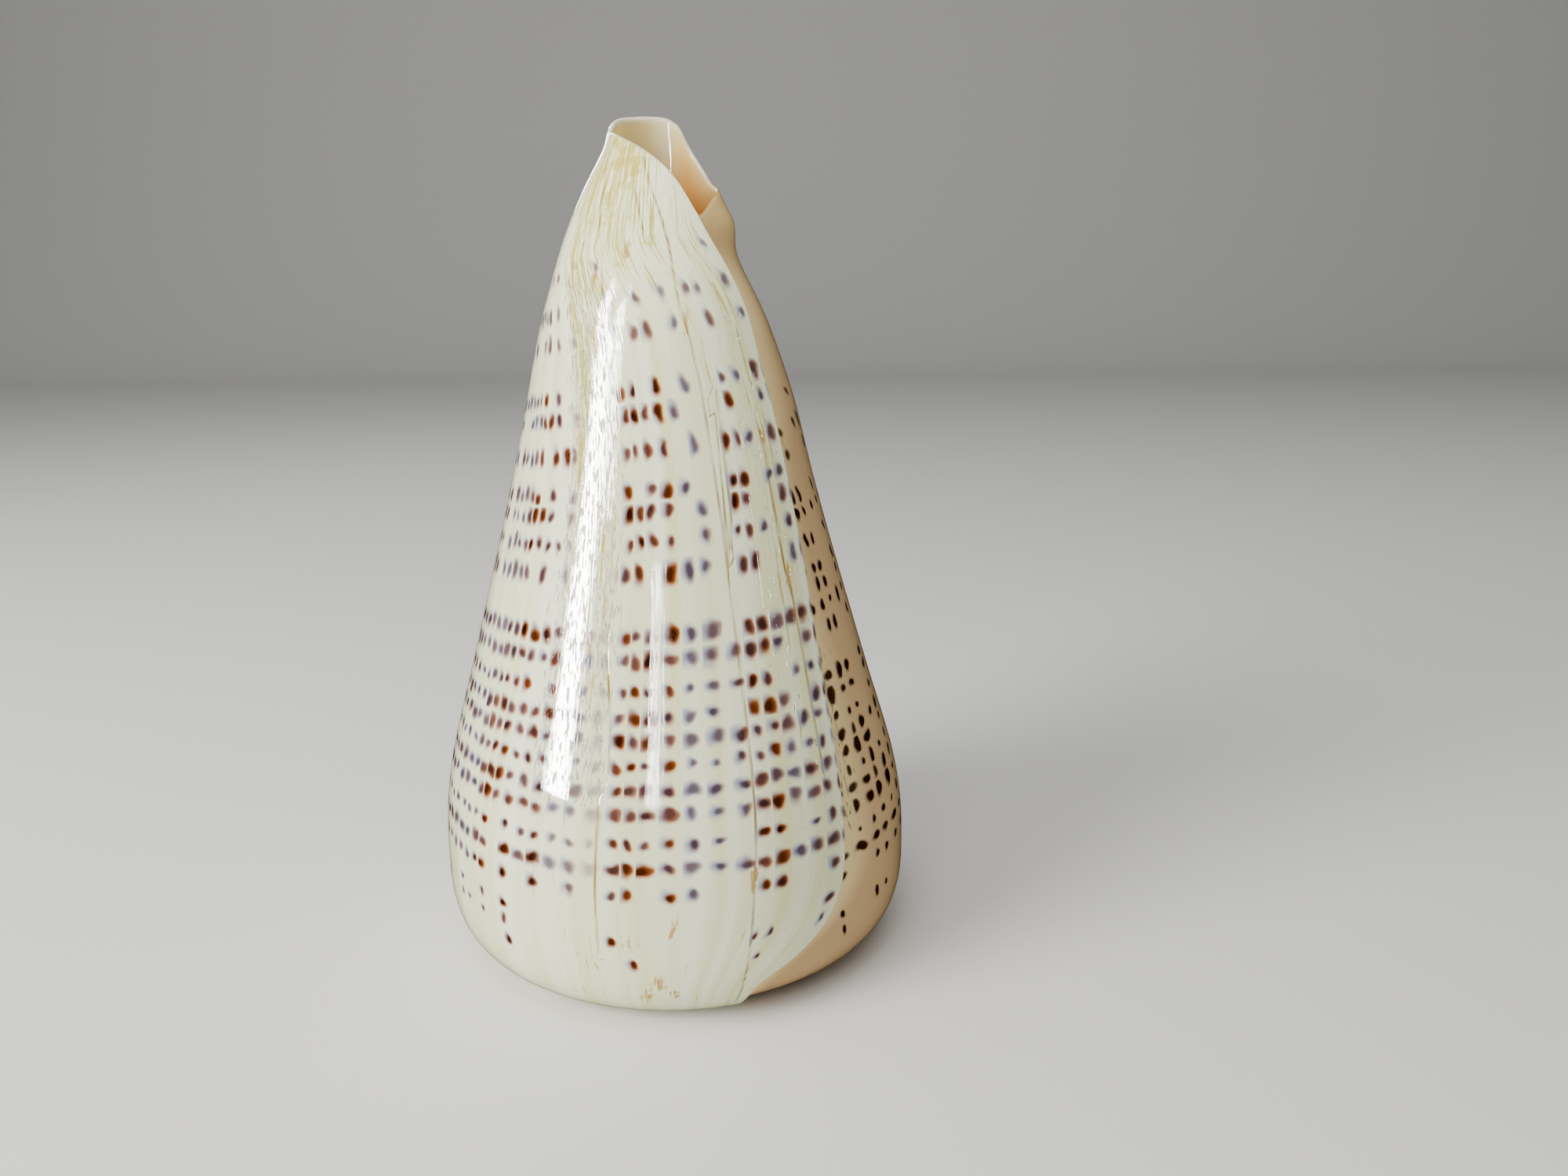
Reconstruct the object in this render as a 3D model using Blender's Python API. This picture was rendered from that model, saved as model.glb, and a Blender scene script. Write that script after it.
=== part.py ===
"""Cone shell standing on its flat spire, front end up.

The shell is one solid: a wall that winds once and a bit round a closed middle, as a snail lays it down.
Lengths are in millimetres and angles in degrees, until add_solid turns them into metres.
An angle "back" is measured round the axis from the lip, negative towards older shell.
"""

import math

import bpy
from mathutils import Vector

MM = 0.001

# Growth. One turn back from the lip, radii are smaller by one factor and heights by the other.
RADIAL_GROWTH = 1.06574
AXIAL_GROWTH = 1.23154
LIP_AZIMUTH = 37.7

# Outer profile at the lip: a rounded shoulder, then a long cone to the front end.
SHOULDER_HEIGHT = 12.639
SHOULDER_RADIUS = 31.944
BASE_RADIUS = 21.671
SHOULDER_POWER = 2.589
PROFILE = (
    (12.639, 31.944), (19.2, 31.775), (27.73, 30.561), (38.4, 27.799), (51.19, 24.451),
    (63.99, 21.198), (76.79, 18.234), (85.32, 16.335), (91.72, 14.475), (97.05, 12.679),
    (101.32, 10.816), (104.52, 9.135), (107.72, 7.508), (110.92, 6.888), (114.12, 6.667),
    (119.45, 6.393),
)

# The old front end makes a low bulge on the right: size, place round the axis, height, spreads.
BULGE_SIZE = 1.721
BULGE_AT = -314.9
BULGE_HEIGHT = 91.81
BULGE_SPREAD = 43.0
BULGE_RISE = 3.13

# Free edge of the outer lip: height and how far it lies behind the lip's angle.
LIP_EDGE = (
    (0.0, -25.3), (1.5, -25.2), (5.3, -22.6), (7.9, -15.9), (9.6, -11.2), (11.6, -6.8),
    (13.9, -3.8), (16.5, -2.0), (20.0, -1.1), (27.0, -0.6), (40.0, 0.0), (54.0, 0.6),
    (65.0, 0.0), (71.0, -1.4), (77.0, -4.2), (81.0, -6.0), (84.0, -8.9), (87.0, -13.2),
    (89.6, -18.2), (92.5, -23.4),
)

# Upper edge all the way round: angle back and height. It is the lip's front part and then the rim.
UPPER_EDGE = (
    (-23.4, 92.5), (-31.2, 95.84), (-40.5, 98.02), (-57.3, 99.99), (-80.0, 101.35), (-97.8, 101.98),
    (-115.0, 102.2), (-126.0, 102.5), (-134.0, 103.2), (-147.4, 104.06), (-166.9, 104.6),
    (-180.4, 104.8), (-193.3, 104.97), (-208.0, 105.0), (-220.6, 104.83), (-231.5, 104.25),
    (-237.0, 103.7), (-243.5, 102.4), (-252.0, 100.9), (-268.8, 98.6), (-286.6, 96.77),
    (-310.0, 95.9), (-331.7, 95.1), (-344.0, 94.3), (-358.6, 92.8), (-383.0, 90.8),
    (-420.0, 87.5), (-480.0, 84.5), (-560.0, 81.5), (-660.0, 79.0), (-770.0, 76.0),
)

# Wall.
LIP_THICKNESS = 0.4
WALL_THICKNESS = 1.4
RIM_THICKNESS = 0.55
LIP_TAPER_DEG = 38.0
RIM_TAPER = 14.0
# The whorl inside the aperture is worn back by a share of its radius, which gives the animal its space.
INNER_WEAR = 0.24
INNER_WEAR_DEG = 60.0
DEEP_WEAR = 0.06

# Grid: angles back over one turn, how far the hollow winds, and the rows up the profile.
NEAR_LIP = (0.0, 1.3, 3.2, 6.0, 9.5, 13.5, 18.0, 23.0)
COLUMNS = 64
HOLLOW_COLUMNS = 71
SHOULDER_ROWS = (0.0, 22.0, 40.0, 56.0, 72.0, 90.0)
BODY_ROWS = 15
ROW_CROWDING = 1.3
FLOOR_ROW = 3
LIP_REACH_DEG = 70.0

# Spire: radius of the winding seam after each turn, rows in a whorl and their heights.
SPIRE_RADII = (21.57, 20.24, 17.2, 14.4, 11.9, 9.7, 7.8)
SPIRE_WHORLS = 4
SPIRE_STEPS = (0.0, 0.72, 0.93)
SPIRE_RISE = (0.0, 0.0, 0.5)
INNER_RISE = (0.12, 0.42, 0.62)
APEX_HEIGHT = 0.35

CORE_RINGS = (0.62, 0.3)
CORE_DROP = (0.8, 1.6)


def clamp(value, low, high):
    return max(low, min(high, value))


def smooth(value):
    """0 to 1 with level ends."""
    value = clamp(value, 0.0, 1.0)
    return value * value * (3.0 - 2.0 * value)


def natural_bends(xs, ys, first_slope):
    """Second derivatives of the cubic spline through the points, level at the far end."""
    n = len(xs)
    low, mid, up, right = [0.0] * n, [1.0] * n, [0.0] * n, [0.0] * n
    h0 = xs[1] - xs[0]
    mid[0], up[0] = h0 / 3.0, h0 / 6.0
    right[0] = (ys[1] - ys[0]) / h0 - first_slope
    for i in range(1, n - 1):
        before, after = xs[i] - xs[i - 1], xs[i + 1] - xs[i]
        low[i], mid[i], up[i] = before / 6.0, (before + after) / 3.0, after / 6.0
        right[i] = (ys[i + 1] - ys[i]) / after - (ys[i] - ys[i - 1]) / before
    for i in range(1, n):
        share = low[i] / mid[i - 1]
        mid[i] -= share * up[i - 1]
        right[i] -= share * right[i - 1]
    bends = [0.0] * n
    bends[-1] = right[-1] / mid[-1]
    for i in range(n - 2, -1, -1):
        bends[i] = (right[i] - up[i] * bends[i + 1]) / mid[i]
    return bends


def spline_at(x, xs, ys, bends):
    x = clamp(x, xs[0], xs[-1])
    i = max(k for k in range(len(xs) - 1) if xs[k] <= x)
    h = xs[i + 1] - xs[i]
    a, b = (xs[i + 1] - x) / h, (x - xs[i]) / h
    curve = (a ** 3 - a) * bends[i] + (b ** 3 - b) * bends[i + 1]
    return a * ys[i] + b * ys[i + 1] + curve * h * h / 6.0


def between(x, points):
    """Smooth curve through the points that never overshoots them."""
    if points[0][0] > points[-1][0]:
        points = points[::-1]
    if x <= points[0][0]:
        return points[0][1]
    if x >= points[-1][0]:
        return points[-1][1]
    rises = [(q[1] - p[1]) / (q[0] - p[0]) for p, q in zip(points, points[1:])]
    slopes = [rises[0]]
    for a, b in zip(rises, rises[1:]):
        slopes.append(2.0 * a * b / (a + b) if a * b > 0.0 else 0.0)
    slopes.append(rises[-1])
    i = max(k for k in range(len(points) - 1) if points[k][0] <= x)
    (x0, y0), (x1, y1) = points[i], points[i + 1]
    h = x1 - x0
    t = (x - x0) / h
    return (
        (2 * t ** 3 - 3 * t ** 2 + 1) * y0 + (t ** 3 - 2 * t ** 2 + t) * h * slopes[i]
        + (3 * t ** 2 - 2 * t ** 3) * y1 + (t ** 3 - t ** 2) * h * slopes[i + 1]
    )


PROFILE_X = [p[0] for p in PROFILE]
PROFILE_Y = [p[1] for p in PROFILE]
PROFILE_BENDS = natural_bends(PROFILE_X, PROFILE_Y, 0.0)


def lip_radius(height):
    """Outer radius at the lip, by height over the spire."""
    if height < SHOULDER_HEIGHT:
        down = clamp((SHOULDER_HEIGHT - height) / SHOULDER_HEIGHT, 0.0, 1.0)
        out = max(0.0, 1.0 - down ** SHOULDER_POWER) ** (1.0 / SHOULDER_POWER)
        return BASE_RADIUS + (SHOULDER_RADIUS - BASE_RADIUS) * out
    return spline_at(height, PROFILE_X, PROFILE_Y, PROFILE_BENDS)


def height_scale(back):
    return AXIAL_GROWTH ** (back / 360.0)


def outer_radius(back, height):
    """Radius of the outer surface anywhere on the winding."""
    radius = RADIAL_GROWTH ** (back / 360.0) * lip_radius(height / height_scale(back))
    along = (back - BULGE_AT) / BULGE_SPREAD
    up = (height - BULGE_HEIGHT) / BULGE_RISE
    return radius + BULGE_SIZE * math.exp(-along * along - up * up)


def kept(grown):
    """Share of the radius left on the whorl inside the aperture."""
    first = INNER_WEAR * smooth((-360.0 - grown) / INNER_WEAR_DEG)
    return 1.0 - first - DEEP_WEAR * smooth((-640.0 - grown) / 100.0)


def thickness(grown, height, top):
    """Wall thickness: thin at the lip and at the rim."""
    full = LIP_THICKNESS + (WALL_THICKNESS - LIP_THICKNESS) * smooth(-grown / LIP_TAPER_DEG)
    rim = min(RIM_THICKNESS, full)
    return rim + (full - rim) * smooth((top - height) / RIM_TAPER)


def column_angles():
    """How far each column lies behind the lip, for the whole winding."""
    rest = COLUMNS - len(NEAR_LIP) + 1
    first = NEAR_LIP[-1]
    turn = list(NEAR_LIP) + [first + (360.0 - first) * (k + 1) / rest for k in range(rest)]
    turn = turn[:COLUMNS]
    longer = turn + [360.0 + a for a in turn] + [720.0 + a for a in turn]
    return [-a for a in longer[: COLUMNS + HOLLOW_COLUMNS + 1]]


def lip_likeness(grown):
    """1 where a column has the lip's bent shape, 0 where it runs straight up."""
    from_lip = -grown % 360.0
    return 1.0 - smooth(min(from_lip, 360.0 - from_lip) / LIP_REACH_DEG)


def column(grown):
    """Angle back and height of each row in one column."""
    like = lip_likeness(grown)
    scale = height_scale(grown)
    end = grown + LIP_EDGE[-1][1] * like
    top = between(end, UPPER_EDGE)
    heights = []
    for beta in SHOULDER_ROWS:
        heights.append(scale * SHOULDER_HEIGHT * (1.0 - math.cos(math.radians(beta)) ** (2.0 / SHOULDER_POWER)))
    start = heights[-1]
    for k in range(1, BODY_ROWS + 1):
        share = 1.0 - (1.0 - k / BODY_ROWS) ** ROW_CROWDING
        heights.append(start + share * (top - start))
    last = LIP_EDGE[-1][0]
    places = []
    for z in heights:
        at = z * last / top if top > 0.0 else 0.0
        stretched = z + (at - z) * smooth(z / top)
        places.append((grown + between(stretched, LIP_EDGE) * like, z))
    return places, top


def point(back, radius, height):
    azimuth = math.radians(LIP_AZIMUTH + back)
    return (radius * math.sin(azimuth), -radius * math.cos(azimuth), height)


def spire_radius(turns):
    """Radius of the seam after a number of turns in from the lip."""
    return between(turns, tuple(enumerate(SPIRE_RADII)))


def spire_height(row):
    whorl, step = divmod(row, len(SPIRE_STEPS))
    return SPIRE_RISE[step] if whorl == 0 else INNER_RISE[step]


class Mesh:
    """Points by name, and triangles between them."""

    def __init__(self):
        self.points, self.index, self.faces = [], {}, []

    def put(self, name, place):
        self.index[name] = len(self.points)
        self.points.append(place)

    def same(self, name, other):
        self.index[name] = self.index[other]

    def face(self, *names):
        """A fan from the first name. Repeated corners are left out."""
        corners = [self.index[n] for n in names]
        for a, b in zip(corners[1:], corners[2:]):
            if len({corners[0], a, b}) == 3:
                self.faces.append((corners[0], a, b))


def add_sheets(mesh, angles):
    """The outer sheet, which runs on into the aperture, and the inner sheet."""
    last_row = len(SHOULDER_ROWS) + BODY_ROWS - 1
    for i, grown in enumerate(angles):
        places, top = column(grown)
        for j, (back, z) in enumerate(places):
            if i > COLUMNS and j < FLOOR_ROW:
                continue
            radius = outer_radius(back, z) * (kept(grown) if j >= FLOOR_ROW else 1.0)
            mesh.put(("out", i, j), point(back, radius, z))
            if i <= HOLLOW_COLUMNS and j >= FLOOR_ROW:
                mesh.put(("in", i, j), point(back, radius - thickness(grown, z, top), z))
    for i in range(COLUMNS + HOLLOW_COLUMNS):
        for j in range(0 if i < COLUMNS else FLOOR_ROW, last_row):
            mesh.face(("out", i, j), ("out", i, j + 1), ("out", i + 1, j + 1), ("out", i + 1, j))
    for i in range(HOLLOW_COLUMNS):
        for j in range(FLOOR_ROW, last_row):
            mesh.face(("in", i, j), ("in", i + 1, j), ("in", i + 1, j + 1), ("in", i, j + 1))
        mesh.face(("out", i, last_row), ("in", i, last_row), ("in", i + 1, last_row), ("out", i + 1, last_row))
        far, next_far = ("out", COLUMNS + i, FLOOR_ROW), ("out", COLUMNS + i + 1, FLOOR_ROW)
        mesh.face(("in", i, FLOOR_ROW), far, next_far, ("in", i + 1, FLOOR_ROW))
    return last_row


def add_lip_and_end(mesh, last_row):
    """The lip's free edge, the seam where it meets the whorl below, and the hollow's far end."""
    for j in range(FLOOR_ROW, last_row):
        mesh.face(("out", 0, j), ("in", 0, j), ("in", 0, j + 1), ("out", 0, j + 1))
        far = COLUMNS + HOLLOW_COLUMNS
        end = HOLLOW_COLUMNS
        mesh.face(("in", end, j), ("out", far, j), ("out", far, j + 1), ("in", end, j + 1))
    for j in range(1, FLOOR_ROW - 1):
        mesh.face(("out", 0, j), ("out", COLUMNS, j), ("out", COLUMNS, j + 1), ("out", 0, j + 1))
    j = FLOOR_ROW - 1
    mesh.face(("out", 0, j), ("out", COLUMNS, j), ("out", COLUMNS, j + 1), ("in", 0, j + 1), ("out", 0, j + 1))


def add_spire(mesh, angles):
    """The flat spire: rows that wind inwards, so that a full turn moves in by one whorl."""
    per = len(SPIRE_STEPS)
    rows = per * SPIRE_WHORLS
    base = LIP_EDGE[0][1]
    for i in range(COLUMNS):
        back = column(angles[i])[0][0][0]
        turned = (base - back) / 360.0
        for m in range(rows + 1 if i else rows + per + 1):
            if m == 0:
                mesh.same(("spire", i, 0), ("out", i, 0))
                continue
            if i == 0 and m == per:
                mesh.same(("spire", 0, per), ("out", COLUMNS, 0))
                continue
            whorl, step = divmod(m, per)
            radius = spire_radius(whorl + turned)
            inner = spire_radius(whorl + 1 + turned)
            radius += (inner - radius) * SPIRE_STEPS[step]
            mesh.put(("spire", i, m), point(back, radius, spire_height(m)))
    for m in range(rows + 1):
        mesh.same(("spire", COLUMNS, m), ("spire", 0, m + per))
    for i in range(COLUMNS):
        for m in range(rows):
            mesh.face(("spire", i, m), ("spire", i + 1, m), ("spire", i + 1, m + 1), ("spire", i, m + 1))
    mesh.put("apex", (0.0, 0.0, APEX_HEIGHT))
    for i in range(COLUMNS):
        mesh.face("apex", ("spire", i, rows), ("spire", i + 1, rows))
    for m in range(rows, rows + per):
        mesh.face("apex", ("spire", 0, m + 1), ("spire", 0, m))
    steps = [("spire", 0, m) for m in range(per + 1)]
    mesh.face(("out", 0, 1), *steps, ("out", COLUMNS, 1))


def add_core_top(mesh, last_row):
    """Closes the middle of the winding, a ramp deep in the canal."""
    loop = [("out", i, last_row) for i in range(HOLLOW_COLUMNS, COLUMNS + HOLLOW_COLUMNS + 1)]
    loop.append(("in", HOLLOW_COLUMNS, last_row))
    outer = loop
    for ring, (share, drop) in enumerate(zip(CORE_RINGS, CORE_DROP)):
        inner = []
        for k, name in enumerate(loop):
            x, y, z = mesh.points[mesh.index[name]]
            mesh.put(("core", ring, k), (x * share, y * share, z - drop))
            inner.append(("core", ring, k))
        for k in range(len(loop)):
            after = (k + 1) % len(loop)
            mesh.face(outer[k], inner[k], inner[after], outer[after])
        outer = inner
    heights = [mesh.points[mesh.index[n]][2] for n in outer]
    mesh.put("core end", (0.0, 0.0, sum(heights) / len(heights)))
    for k in range(len(outer)):
        mesh.face("core end", outer[(k + 1) % len(outer)], outer[k])


def add_solid(name, mesh, colour, roughness):
    """One closed object, its footprint centred on the origin and its lowest face at zero."""
    low = [min(p[k] for p in mesh.points) for k in range(3)]
    high = [max(p[k] for p in mesh.points) for k in range(3)]
    shift = Vector(((low[0] + high[0]) / 2.0, (low[1] + high[1]) / 2.0, low[2]))
    data = bpy.data.meshes.new(name)
    data.from_pydata([(Vector(p) - shift) * MM for p in mesh.points], [], mesh.faces)
    data.update()
    material = bpy.data.materials.new(name)
    material.use_nodes = True
    shader = material.node_tree.nodes["Principled BSDF"]
    shader.inputs["Base Color"].default_value = (*colour, 1.0)
    shader.inputs["Roughness"].default_value = roughness
    data.materials.append(material)
    solid = bpy.data.objects.new(name, data)
    bpy.context.scene.collection.objects.link(solid)
    return shift


def build():
    mesh = Mesh()
    angles = column_angles()
    last_row = add_sheets(mesh, angles)
    add_lip_and_end(mesh, last_row)
    add_spire(mesh, angles)
    add_core_top(mesh, last_row)
    shift = add_solid("cone_shell", mesh, (0.82, 0.74, 0.60), 0.22)
    print("axis at", [round(-v, 3) for v in shift], "triangles", len(mesh.faces))


for old in list(bpy.data.objects):
    bpy.data.objects.remove(old, do_unlink=True)
build()
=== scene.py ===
"""Cone shell on a plain studio floor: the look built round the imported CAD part."""

import logging
import math
from dataclasses import dataclass, field, fields
from enum import Enum
from typing import Any

import bpy
import numpy as np
from mathutils import Matrix, Vector

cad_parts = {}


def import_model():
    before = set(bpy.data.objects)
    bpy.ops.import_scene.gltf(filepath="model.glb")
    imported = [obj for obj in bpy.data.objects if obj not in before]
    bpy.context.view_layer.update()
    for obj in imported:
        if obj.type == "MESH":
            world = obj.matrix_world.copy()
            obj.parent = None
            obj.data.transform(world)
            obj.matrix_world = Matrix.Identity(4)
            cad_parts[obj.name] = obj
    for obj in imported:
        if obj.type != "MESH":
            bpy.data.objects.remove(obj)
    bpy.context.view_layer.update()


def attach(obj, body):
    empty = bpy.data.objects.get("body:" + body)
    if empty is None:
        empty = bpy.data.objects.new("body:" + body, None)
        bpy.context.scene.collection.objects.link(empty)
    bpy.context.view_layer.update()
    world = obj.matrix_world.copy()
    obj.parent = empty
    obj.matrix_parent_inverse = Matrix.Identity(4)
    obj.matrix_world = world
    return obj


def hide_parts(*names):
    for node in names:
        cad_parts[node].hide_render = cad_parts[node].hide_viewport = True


MM = 0.001
PICTURE = (2000, 1500)
Points = tuple[tuple[float, float], ...]
Socket = bpy.types.NodeSocket


def linear(colour: str) -> tuple[float, float, float, float]:
    """Turns an sRGB hex colour into linear values.

    Args:
        colour: six hex digits after a hash sign.

    Returns:
        Linear red, green, blue and an alpha of 1.
    """
    parts = [int(colour[k : k + 2], 16) / 255.0 for k in (1, 3, 5)]
    red, green, blue = (p / 12.92 if p <= 0.04045 else ((p + 0.055) / 1.055) ** 2.4 for p in parts)
    return (red, green, blue, 1.0)


def smooth(value: np.ndarray | float) -> np.ndarray:
    """Turns a straight rise from 0 to 1 into one with level ends."""
    value = np.clip(value, 0.0, 1.0)
    return value * value * (3.0 - 2.0 * value)


def between(x: np.ndarray | float, points: Points) -> np.ndarray:
    """Smooth curve through points that never overshoots them.

    Args:
        x: where to read the curve.
        points: pairs in rising or falling order of their first value.

    Returns:
        The curve's value at each x, level beyond the ends.
    """
    ordered = sorted(points)
    px = np.array([p[0] for p in ordered])
    py = np.array([p[1] for p in ordered])
    rises = np.diff(py) / np.diff(px)
    slopes = np.empty(len(px))
    slopes[0], slopes[-1] = rises[0], rises[-1]
    both = rises[:-1] * rises[1:] > 0.0
    total = np.where(both, rises[:-1] + rises[1:], 1.0)
    slopes[1:-1] = np.where(both, 2.0 * rises[:-1] * rises[1:] / total, 0.0)
    x = np.clip(x, px[0], px[-1])
    i = np.clip(np.searchsorted(px, x, side="right") - 1, 0, len(px) - 2)
    h = px[i + 1] - px[i]
    t = (x - px[i]) / h
    return (
        (2 * t**3 - 3 * t**2 + 1) * py[i]
        + (t**3 - 2 * t**2 + t) * h * slopes[i]
        + (3 * t**2 - 2 * t**3) * py[i + 1]
        + (t**3 - t**2) * h * slopes[i + 1]
    )


class Tree:
    """A material's node tree."""

    def __init__(self, name: str) -> None:
        """Starts a material with its principled shader.

        Args:
            name: the real material and how its surface was made.
        """
        self.material = bpy.data.materials.new(name)
        self.material.use_nodes = True
        self.nodes = self.material.node_tree.nodes
        self.shader = self.nodes["Principled BSDF"]

    def add(
        self, kind: str, *inputs: Any, out: int | str | None = 0, named: dict[str, Any] | None = None,
        **settings: Any,
    ) -> Any:
        """Adds a node with its settings and links.

        Args:
            kind: node type without its ShaderNode prefix.
            inputs: what goes into the first inputs, in order: a socket or a value each.
            out: name or number of the output wanted, or None for the node itself.
            named: what goes into other inputs, by name.
            settings: properties of the node.

        Returns:
            The output socket, or the node.
        """
        node = self.nodes.new("ShaderNode" + kind)
        for key, value in settings.items():
            setattr(node, key, value)
        self.feed(node, {**dict(enumerate(inputs)), **(named or {})})
        return node if out is None else node.outputs[out]

    def feed(self, node: Any, inputs: dict[Any, Any]) -> None:
        """Links or sets a node's inputs.

        Args:
            node: the node.
            inputs: a socket or a value for each input, by name or number.
        """
        for key, value in inputs.items():
            if isinstance(value, bpy.types.NodeSocket):
                self.material.node_tree.links.new(value, node.inputs[key])
            else:
                node.inputs[key].default_value = value


class Sheet(Enum):
    """Which surface of the shell a point lies on, as the share of the inner wall's finish that it takes."""

    OUTER = 0.0
    RIM = 0.5
    INNER = 1.0


@dataclass(frozen=True)
class Growth:
    """How the outer surface winds, in millimetres and degrees back from the lip."""

    radial: float = 1.06574
    axial: float = 1.23154
    lip_azimuth: float = 37.7
    shoulder_height: float = 12.639
    shoulder_radius: float = 31.944
    base_radius: float = 21.671
    shoulder_power: float = 2.589
    profile: Points = (
        (12.639, 31.944), (19.2, 31.775), (27.73, 30.561), (38.4, 27.799), (51.19, 24.451),
        (63.99, 21.198), (76.79, 18.234), (85.32, 16.335), (91.72, 14.475), (97.05, 12.679),
        (101.32, 10.816), (104.52, 9.135), (107.72, 7.508), (110.92, 6.888), (114.12, 6.667),
        (119.45, 6.393),
    )
    bulge: tuple[float, ...] = (1.721, -314.9, 91.81, 43.0, 3.13)
    lip_edge: Points = (
        (0.0, -25.3), (1.5, -25.2), (5.3, -22.6), (7.9, -15.9), (9.6, -11.2), (11.6, -6.8),
        (13.9, -3.8), (16.5, -2.0), (20.0, -1.1), (27.0, -0.6), (40.0, 0.0), (54.0, 0.6),
        (65.0, 0.0), (71.0, -1.4), (77.0, -4.2), (81.0, -6.0), (84.0, -8.9), (87.0, -13.2),
        (89.6, -18.2), (92.5, -23.4),
    )
    upper_edge: Points = (
        (-23.4, 92.5), (-31.2, 95.84), (-40.5, 98.02), (-57.3, 99.99), (-80.0, 101.35),
        (-97.8, 101.98), (-115.0, 102.2), (-126.0, 102.5), (-134.0, 103.2), (-147.4, 104.06),
        (-166.9, 104.6), (-180.4, 104.8), (-193.3, 104.97), (-208.0, 105.0), (-220.6, 104.83),
        (-231.5, 104.25), (-237.0, 103.7), (-243.5, 102.4), (-252.0, 100.9), (-268.8, 98.6),
        (-286.6, 96.77), (-310.0, 95.9), (-331.7, 95.1), (-344.0, 94.3), (-358.6, 92.8),
        (-383.0, 90.8), (-420.0, 87.5), (-480.0, 84.5), (-560.0, 81.5), (-660.0, 79.0),
        (-770.0, 76.0),
    )
    lip_thickness: float = 0.4
    wall_thickness: float = 1.4
    rim_thickness: float = 0.55
    lip_taper_deg: float = 38.0
    rim_taper: float = 14.0
    lip_reach_deg: float = 70.0
    # The whorl inside the aperture is worn back by a share of its radius: first, then again deeper in.
    inner_wear: float = 0.24
    inner_wear_deg: float = 60.0
    deep_wear: float = 0.06
    deep_wear_from: float = -640.0
    deep_wear_deg: float = 100.0

    def lip_radius(self, height: np.ndarray) -> np.ndarray:
        """Outer radius at the lip.

        Args:
            height: height over the spire.

        Returns:
            The radius: a rounded shoulder below, the profile above.
        """
        down = np.clip((self.shoulder_height - height) / self.shoulder_height, 0.0, 1.0)
        out = (1.0 - down**self.shoulder_power) ** (1.0 / self.shoulder_power)
        low = self.base_radius + (self.shoulder_radius - self.base_radius) * out
        return np.where(height < self.shoulder_height, low, self.spline(height))

    def spline(self, height: np.ndarray) -> np.ndarray:
        """Cubic spline through the profile, level at the shoulder and free at the end.

        Args:
            height: height over the spire.

        Returns:
            The radius.
        """
        x = np.array([p[0] for p in self.profile])
        y = np.array([p[1] for p in self.profile])
        n, h = len(x), np.diff(x)
        matrix, right = np.eye(n), np.zeros(n)
        matrix[0, :2] = h[0] / 3.0, h[0] / 6.0
        right[0] = (y[1] - y[0]) / h[0]
        for i in range(1, n - 1):
            matrix[i, i - 1 : i + 2] = h[i - 1] / 6.0, (h[i - 1] + h[i]) / 3.0, h[i] / 6.0
            right[i] = (y[i + 1] - y[i]) / h[i] - (y[i] - y[i - 1]) / h[i - 1]
        bends = np.linalg.solve(matrix, right)
        at = np.clip(height, x[0], x[-1])
        i = np.clip(np.searchsorted(x, at, side="right") - 1, 0, n - 2)
        a, b = (x[i + 1] - at) / h[i], (at - x[i]) / h[i]
        curve = (a**3 - a) * bends[i] + (b**3 - b) * bends[i + 1]
        return a * y[i] + b * y[i + 1] + curve * h[i] ** 2 / 6.0

    def scale(self, back: np.ndarray) -> np.ndarray:
        """Height of the shell at an angle back, as a share of its height at the lip."""
        return self.axial ** (back / 360.0)

    def radius(self, back: np.ndarray, height: np.ndarray) -> np.ndarray:
        """Radius of the outer surface anywhere on the winding.

        Args:
            back: angle back from the lip.
            height: height over the spire.

        Returns:
            The radius, with the swelling beside the notch.
        """
        size, angle, level, spread, rise = self.bulge
        bump = size * np.exp(-(((back - angle) / spread) ** 2) - ((height - level) / rise) ** 2)
        return self.radial ** (back / 360.0) * self.lip_radius(height / self.scale(back)) + bump

    def kept(self, grown: np.ndarray) -> np.ndarray:
        """Share of the radius left on the whorl inside the aperture, worn back by the animal."""
        first = self.inner_wear * smooth((-360.0 - grown) / self.inner_wear_deg)
        return 1.0 - first - self.deep_wear * smooth((self.deep_wear_from - grown) / self.deep_wear_deg)

    def thickness(self, grown: np.ndarray, below: np.ndarray) -> np.ndarray:
        """Wall thickness, thin at the lip and at the rim.

        Args:
            grown: angle back along the growth lines.
            below: how far below the rim.

        Returns:
            The thickness.
        """
        thicker = self.wall_thickness - self.lip_thickness
        full = self.lip_thickness + thicker * smooth(-grown / self.lip_taper_deg)
        rim = np.minimum(self.rim_thickness, full)
        return rim + (full - rim) * smooth(below / self.rim_taper)

    def point(self, back: np.ndarray, radius: np.ndarray, height: np.ndarray) -> np.ndarray:
        """Place of a point on the winding.

        Args:
            back: angle back from the lip.
            radius: distance from the axis.
            height: height over the spire.

        Returns:
            The place, its three values last.
        """
        azimuth = np.radians(self.lip_azimuth + back)
        across, away = radius * np.sin(azimuth), -radius * np.cos(azimuth)
        return np.stack([across, away, height * np.ones_like(azimuth)], -1)


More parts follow.
